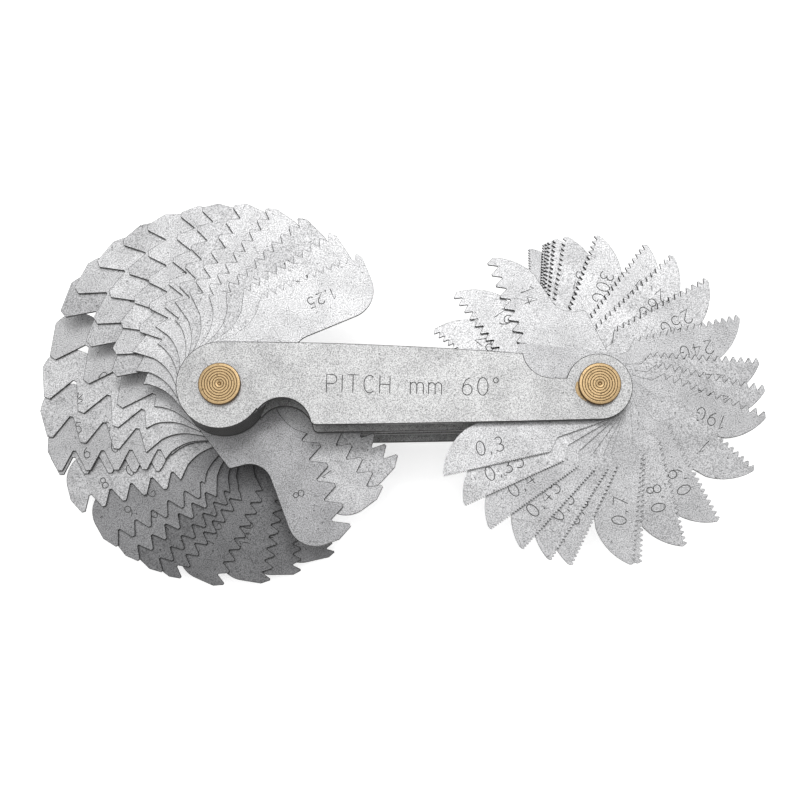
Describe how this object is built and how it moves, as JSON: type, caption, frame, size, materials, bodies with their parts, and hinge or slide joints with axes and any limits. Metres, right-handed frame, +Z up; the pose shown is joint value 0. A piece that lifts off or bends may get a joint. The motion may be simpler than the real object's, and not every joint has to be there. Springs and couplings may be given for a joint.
{
  "type": "screw pitch gauge",
  "caption": "Folding screw pitch gauge: toothed steel leaves for metric, pipe and Whitworth threads fan out from two brass rivets between flat steel plates.",
  "frame": {"origin": "on the left rivet's axis, on the plane that the lower rivet heads rest on", "axes": "+X along the body from the coarse leaves' rivet to the fine leaves' rivet; +Z up through the stack, along both rivets"},
  "size_m": [0.1091, 0.0559, 0.0205],
  "materials": {
    "leaf_steel": "satin, finely speckled",
    "plate_steel": "satin, finely speckled",
    "rivet_brass": "turned"
  },
  "bodies": {
    "body": {"plates": "plate_steel", "rivets": "rivet_brass"},
    "leaf_whitworth_18": {"leaf_whitworth_18": "leaf_steel"},
    "leaf_whitworth_16": {"leaf_whitworth_16": "leaf_steel"},
    "leaf_whitworth_14": {"leaf_whitworth_14": "leaf_steel"},
    "leaf_whitworth_13": {"leaf_whitworth_13": "leaf_steel"},
    "leaf_whitworth_12": {"leaf_whitworth_12": "leaf_steel"},
    "leaf_whitworth_11": {"leaf_whitworth_11": "leaf_steel"},
    "leaf_whitworth_10": {"leaf_whitworth_10": "leaf_steel"},
    "leaf_whitworth_9": {"leaf_whitworth_9": "leaf_steel"},
    "leaf_whitworth_8": {"leaf_whitworth_8": "leaf_steel"},
    "leaf_whitworth_7": {"leaf_whitworth_7": "leaf_steel"},
    "leaf_whitworth_6": {"leaf_whitworth_6": "leaf_steel"},
    "leaf_whitworth_5": {"leaf_whitworth_5": "leaf_steel"},
    "leaf_whitworth_4_5": {"leaf_whitworth_4_5": "leaf_steel"},
    "leaf_whitworth_4": {"leaf_whitworth_4": "leaf_steel"},
    "leaf_whitworth_62": {"leaf_whitworth_62": "leaf_steel"},
    "leaf_whitworth_60": {"leaf_whitworth_60": "leaf_steel"},
    "leaf_whitworth_48": {"leaf_whitworth_48": "leaf_steel"},
    "leaf_whitworth_40": {"leaf_whitworth_40": "leaf_steel"},
    "leaf_whitworth_36": {"leaf_whitworth_36": "leaf_steel"},
    "leaf_whitworth_32": {"leaf_whitworth_32": "leaf_steel"},
    "leaf_whitworth_30": {"leaf_whitworth_30": "leaf_steel"},
    "leaf_whitworth_28": {"leaf_whitworth_28": "leaf_steel"},
    "leaf_whitworth_26": {"leaf_whitworth_26": "leaf_steel"},
    "leaf_whitworth_25": {"leaf_whitworth_25": "leaf_steel"},
    "leaf_whitworth_24": {"leaf_whitworth_24": "leaf_steel"},
    "leaf_whitworth_22": {"leaf_whitworth_22": "leaf_steel"},
    "leaf_whitworth_20": {"leaf_whitworth_20": "leaf_steel"},
    "leaf_whitworth_19": {"leaf_whitworth_19": "leaf_steel"},
    "leaf_pipe_11": {"leaf_pipe_11": "leaf_steel"},
    "leaf_pipe_10": {"leaf_pipe_10": "leaf_steel"},
    "leaf_pipe_8": {"leaf_pipe_8": "leaf_steel"},
    "leaf_pipe_28": {"leaf_pipe_28": "leaf_steel"},
    "leaf_pipe_19": {"leaf_pipe_19": "leaf_steel"},
    "leaf_pipe_14": {"leaf_pipe_14": "leaf_steel"},
    "leaf_metric_6": {"leaf_metric_6": "leaf_steel"},
    "leaf_metric_5_5": {"leaf_metric_5_5": "leaf_steel"},
    "leaf_metric_5": {"leaf_metric_5": "leaf_steel"},
    "leaf_metric_4_5": {"leaf_metric_4_5": "leaf_steel"},
    "leaf_metric_4": {"leaf_metric_4": "leaf_steel"},
    "leaf_metric_3_5": {"leaf_metric_3_5": "leaf_steel"},
    "leaf_metric_3": {"leaf_metric_3": "leaf_steel"},
    "leaf_metric_2_5": {"leaf_metric_2_5": "leaf_steel"},
    "leaf_metric_2": {"leaf_metric_2": "leaf_steel"},
    "leaf_metric_1_75": {"leaf_metric_1_75": "leaf_steel"},
    "leaf_metric_1_5": {"leaf_metric_1_5": "leaf_steel"},
    "leaf_metric_1_25": {"leaf_metric_1_25": "leaf_steel"},
    "leaf_metric_1": {"leaf_metric_1": "leaf_steel"},
    "leaf_metric_0_9": {"leaf_metric_0_9": "leaf_steel"},
    "leaf_metric_0_8": {"leaf_metric_0_8": "leaf_steel"},
    "leaf_metric_0_75": {"leaf_metric_0_75": "leaf_steel"},
    "leaf_metric_0_7": {"leaf_metric_0_7": "leaf_steel"},
    "leaf_metric_0_6": {"leaf_metric_0_6": "leaf_steel"},
    "leaf_metric_0_5": {"leaf_metric_0_5": "leaf_steel"},
    "leaf_metric_0_45": {"leaf_metric_0_45": "leaf_steel"},
    "leaf_metric_0_4": {"leaf_metric_0_4": "leaf_steel"},
    "leaf_metric_0_35": {"leaf_metric_0_35": "leaf_steel"},
    "leaf_metric_0_3": {"leaf_metric_0_3": "leaf_steel"},
    "leaf_metric_0_25": {"leaf_metric_0_25": "leaf_steel"}
  },
  "joints": [
    {"name": "turn_whitworth_18", "type": "hinge", "parent": "body", "child": "leaf_whitworth_18", "pos_m": [0, 0, 0.00198], "axis": [0, 0, 1], "range_deg": [-302.3, 57.7]},
    {"name": "turn_whitworth_16", "type": "hinge", "parent": "body", "child": "leaf_whitworth_16", "pos_m": [0, 0, 0.00251], "axis": [0, 0, 1], "range_deg": [-290.3, 69.7]},
    {"name": "turn_whitworth_14", "type": "hinge", "parent": "body", "child": "leaf_whitworth_14", "pos_m": [0, 0, 0.00304], "axis": [0, 0, 1], "range_deg": [-280.3, 79.7]},
    {"name": "turn_whitworth_13", "type": "hinge", "parent": "body", "child": "leaf_whitworth_13", "pos_m": [0, 0, 0.00357], "axis": [0, 0, 1], "range_deg": [-265.8, 94.2]},
    {"name": "turn_whitworth_12", "type": "hinge", "parent": "body", "child": "leaf_whitworth_12", "pos_m": [0, 0, 0.0041], "axis": [0, 0, 1], "range_deg": [-252.3, 107.7]},
    {"name": "turn_whitworth_11", "type": "hinge", "parent": "body", "child": "leaf_whitworth_11", "pos_m": [0, 0, 0.00463], "axis": [0, 0, 1], "range_deg": [-246.3, 113.7]},
    {"name": "turn_whitworth_10", "type": "hinge", "parent": "body", "child": "leaf_whitworth_10", "pos_m": [0, 0, 0.00516], "axis": [0, 0, 1], "range_deg": [-238.3, 121.7]},
    {"name": "turn_whitworth_9", "type": "hinge", "parent": "body", "child": "leaf_whitworth_9", "pos_m": [0, 0, 0.00569], "axis": [0, 0, 1], "range_deg": [-230.3, 129.7]},
    {"name": "turn_whitworth_8", "type": "hinge", "parent": "body", "child": "leaf_whitworth_8", "pos_m": [0, 0, 0.00622], "axis": [0, 0, 1], "range_deg": [-215.3, 144.7]},
    {"name": "turn_whitworth_7", "type": "hinge", "parent": "body", "child": "leaf_whitworth_7", "pos_m": [0, 0, 0.00675], "axis": [0, 0, 1], "range_deg": [-201.7, 158.3]},
    {"name": "turn_whitworth_6", "type": "hinge", "parent": "body", "child": "leaf_whitworth_6", "pos_m": [0, 0, 0.00728], "axis": [0, 0, 1], "range_deg": [-200.5, 159.5]},
    {"name": "turn_whitworth_5", "type": "hinge", "parent": "body", "child": "leaf_whitworth_5", "pos_m": [0, 0, 0.00781], "axis": [0, 0, 1], "range_deg": [-189.3, 170.7]},
    {"name": "turn_whitworth_4_5", "type": "hinge", "parent": "body", "child": "leaf_whitworth_4_5", "pos_m": [0, 0, 0.00834], "axis": [0, 0, 1], "range_deg": [-176.9, 183.1]},
    {"name": "turn_whitworth_4", "type": "hinge", "parent": "body", "child": "leaf_whitworth_4", "pos_m": [0, 0, 0.00887], "axis": [0, 0, 1], "range_deg": [-164, 196]},
    {"name": "turn_whitworth_62", "type": "hinge", "parent": "body", "child": "leaf_whitworth_62", "pos_m": [0.0545, 0, 0.00198], "axis": [0, 0, 1], "range_deg": [-285, 75]},
    {"name": "turn_whitworth_60", "type": "hinge", "parent": "body", "child": "leaf_whitworth_60", "pos_m": [0.0545, 0, 0.00251], "axis": [0, 0, 1], "range_deg": [-280, 80]},
    {"name": "turn_whitworth_48", "type": "hinge", "parent": "body", "child": "leaf_whitworth_48", "pos_m": [0.0545, 0, 0.00304], "axis": [0, 0, 1], "range_deg": [-279.1, 80.9]},
    {"name": "turn_whitworth_40", "type": "hinge", "parent": "body", "child": "leaf_whitworth_40", "pos_m": [0.0545, 0, 0.00357], "axis": [0, 0, 1], "range_deg": [-278.3, 81.7]},
    {"name": "turn_whitworth_36", "type": "hinge", "parent": "body", "child": "leaf_whitworth_36", "pos_m": [0.0545, 0, 0.0041], "axis": [0, 0, 1], "range_deg": [-276.6, 83.4]},
    {"name": "turn_whitworth_32", "type": "hinge", "parent": "body", "child": "leaf_whitworth_32", "pos_m": [0.0545, 0, 0.00463], "axis": [0, 0, 1], "range_deg": [-273.2, 86.8]},
    {"name": "turn_whitworth_30", "type": "hinge", "parent": "body", "child": "leaf_whitworth_30", "pos_m": [0.0545, 0, 0.00516], "axis": [0, 0, 1], "range_deg": [-262.6, 97.4]},
    {"name": "turn_whitworth_28", "type": "hinge", "parent": "body", "child": "leaf_whitworth_28", "pos_m": [0.0545, 0, 0.00569], "axis": [0, 0, 1], "range_deg": [-246, 114]},
    {"name": "turn_whitworth_26", "type": "hinge", "parent": "body", "child": "leaf_whitworth_26", "pos_m": [0.0545, 0, 0.00622], "axis": [0, 0, 1], "range_deg": [-236.5, 123.5]},
    {"name": "turn_whitworth_25", "type": "hinge", "parent": "body", "child": "leaf_whitworth_25", "pos_m": [0.0545, 0, 0.00675], "axis": [0, 0, 1], "range_deg": [-222.5, 137.5]},
    {"name": "turn_whitworth_24", "type": "hinge", "parent": "body", "child": "leaf_whitworth_24", "pos_m": [0.0545, 0, 0.00728], "axis": [0, 0, 1], "range_deg": [-206, 154]},
    {"name": "turn_whitworth_22", "type": "hinge", "parent": "body", "child": "leaf_whitworth_22", "pos_m": [0.0545, 0, 0.00781], "axis": [0, 0, 1], "range_deg": [-189.7, 170.3]},
    {"name": "turn_whitworth_20", "type": "hinge", "parent": "body", "child": "leaf_whitworth_20", "pos_m": [0.0545, 0, 0.00834], "axis": [0, 0, 1], "range_deg": [-180.3, 179.7]},
    {"name": "turn_whitworth_19", "type": "hinge", "parent": "body", "child": "leaf_whitworth_19", "pos_m": [0.0545, 0, 0.00887], "axis": [0, 0, 1], "range_deg": [-171.2, 188.8]},
    {"name": "turn_pipe_11", "type": "hinge", "parent": "body", "child": "leaf_pipe_11", "pos_m": [0, 0, 0.01023], "axis": [0, 0, 1], "range_deg": [-337.3, 22.7]},
    {"name": "turn_pipe_10", "type": "hinge", "parent": "body", "child": "leaf_pipe_10", "pos_m": [0, 0, 0.01076], "axis": [0, 0, 1], "range_deg": [-326.3, 33.7]},
    {"name": "turn_pipe_8", "type": "hinge", "parent": "body", "child": "leaf_pipe_8", "pos_m": [0, 0, 0.01129], "axis": [0, 0, 1], "range_deg": [-310.3, 49.7]},
    {"name": "turn_pipe_28", "type": "hinge", "parent": "body", "child": "leaf_pipe_28", "pos_m": [0.0545, 0, 0.01023], "axis": [0, 0, 1], "range_deg": [-333.4, 26.6]},
    {"name": "turn_pipe_19", "type": "hinge", "parent": "body", "child": "leaf_pipe_19", "pos_m": [0.0545, 0, 0.01076], "axis": [0, 0, 1], "range_deg": [-319.4, 40.6]},
    {"name": "turn_pipe_14", "type": "hinge", "parent": "body", "child": "leaf_pipe_14", "pos_m": [0.0545, 0, 0.01129], "axis": [0, 0, 1], "range_deg": [-302.9, 57.1]},
    {"name": "turn_metric_6", "type": "hinge", "parent": "body", "child": "leaf_metric_6", "pos_m": [0, 0, 0.01265], "axis": [0, 0, 1], "range_deg": [-150.7, 209.3]},
    {"name": "turn_metric_5_5", "type": "hinge", "parent": "body", "child": "leaf_metric_5_5", "pos_m": [0, 0, 0.01318], "axis": [0, 0, 1], "range_deg": [-142.3, 217.7]},
    {"name": "turn_metric_5", "type": "hinge", "parent": "body", "child": "leaf_metric_5", "pos_m": [0, 0, 0.01371], "axis": [0, 0, 1], "range_deg": [-131.6, 228.4]},
    {"name": "turn_metric_4_5", "type": "hinge", "parent": "body", "child": "leaf_metric_4_5", "pos_m": [0, 0, 0.01424], "axis": [0, 0, 1], "range_deg": [-121.3, 238.7]},
    {"name": "turn_metric_4", "type": "hinge", "parent": "body", "child": "leaf_metric_4", "pos_m": [0, 0, 0.01477], "axis": [0, 0, 1], "range_deg": [-112.5, 247.5]},
    {"name": "turn_metric_3_5", "type": "hinge", "parent": "body", "child": "leaf_metric_3_5", "pos_m": [0, 0, 0.0153], "axis": [0, 0, 1], "range_deg": [-101.3, 258.7]},
    {"name": "turn_metric_3", "type": "hinge", "parent": "body", "child": "leaf_metric_3", "pos_m": [0, 0, 0.01583], "axis": [0, 0, 1], "range_deg": [-94.3, 265.7]},
    {"name": "turn_metric_2_5", "type": "hinge", "parent": "body", "child": "leaf_metric_2_5", "pos_m": [0, 0, 0.01636], "axis": [0, 0, 1], "range_deg": [-84.6, 275.4]},
    {"name": "turn_metric_2", "type": "hinge", "parent": "body", "child": "leaf_metric_2", "pos_m": [0, 0, 0.01689], "axis": [0, 0, 1], "range_deg": [-74.6, 285.4]},
    {"name": "turn_metric_1_75", "type": "hinge", "parent": "body", "child": "leaf_metric_1_75", "pos_m": [0, 0, 0.01742], "axis": [0, 0, 1], "range_deg": [-64, 296]},
    {"name": "turn_metric_1_5", "type": "hinge", "parent": "body", "child": "leaf_metric_1_5", "pos_m": [0, 0, 0.01795], "axis": [0, 0, 1], "range_deg": [-53.3, 306.7]},
    {"name": "turn_metric_1_25", "type": "hinge", "parent": "body", "child": "leaf_metric_1_25", "pos_m": [0, 0, 0.01848], "axis": [0, 0, 1], "range_deg": [-42.3, 317.7]},
    {"name": "turn_metric_1", "type": "hinge", "parent": "body", "child": "leaf_metric_1", "pos_m": [0.0545, 0, 0.01265], "axis": [0, 0, 1], "range_deg": [-150.7, 209.3]},
    {"name": "turn_metric_0_9", "type": "hinge", "parent": "body", "child": "leaf_metric_0_9", "pos_m": [0.0545, 0, 0.01318], "axis": [0, 0, 1], "range_deg": [-129.7, 230.3]},
    {"name": "turn_metric_0_8", "type": "hinge", "parent": "body", "child": "leaf_metric_0_8", "pos_m": [0.0545, 0, 0.01371], "axis": [0, 0, 1], "range_deg": [-115.7, 244.3]},
    {"name": "turn_metric_0_75", "type": "hinge", "parent": "body", "child": "leaf_metric_0_75", "pos_m": [0.0545, 0, 0.01424], "axis": [0, 0, 1], "range_deg": [-99.7, 260.3]},
    {"name": "turn_metric_0_7", "type": "hinge", "parent": "body", "child": "leaf_metric_0_7", "pos_m": [0.0545, 0, 0.01477], "axis": [0, 0, 1], "range_deg": [-97.2, 262.8]},
    {"name": "turn_metric_0_6", "type": "hinge", "parent": "body", "child": "leaf_metric_0_6", "pos_m": [0.0545, 0, 0.0153], "axis": [0, 0, 1], "range_deg": [-77.2, 282.8]},
    {"name": "turn_metric_0_5", "type": "hinge", "parent": "body", "child": "leaf_metric_0_5", "pos_m": [0.0545, 0, 0.01583], "axis": [0, 0, 1], "range_deg": [-70.2, 289.8]},
    {"name": "turn_metric_0_45", "type": "hinge", "parent": "body", "child": "leaf_metric_0_45", "pos_m": [0.0545, 0, 0.01636], "axis": [0, 0, 1], "range_deg": [-60.7, 299.3]},
    {"name": "turn_metric_0_4", "type": "hinge", "parent": "body", "child": "leaf_metric_0_4", "pos_m": [0.0545, 0, 0.01689], "axis": [0, 0, 1], "range_deg": [-48.7, 311.3]},
    {"name": "turn_metric_0_35", "type": "hinge", "parent": "body", "child": "leaf_metric_0_35", "pos_m": [0.0545, 0, 0.01742], "axis": [0, 0, 1], "range_deg": [-37.7, 322.3]},
    {"name": "turn_metric_0_3", "type": "hinge", "parent": "body", "child": "leaf_metric_0_3", "pos_m": [0.0545, 0, 0.01795], "axis": [0, 0, 1], "range_deg": [-26.2, 333.8]},
    {"name": "turn_metric_0_25", "type": "hinge", "parent": "body", "child": "leaf_metric_0_25", "pos_m": [0.0545, 0, 0.01848], "axis": [0, 0, 1], "range_deg": [0, 360]}
  ]
}
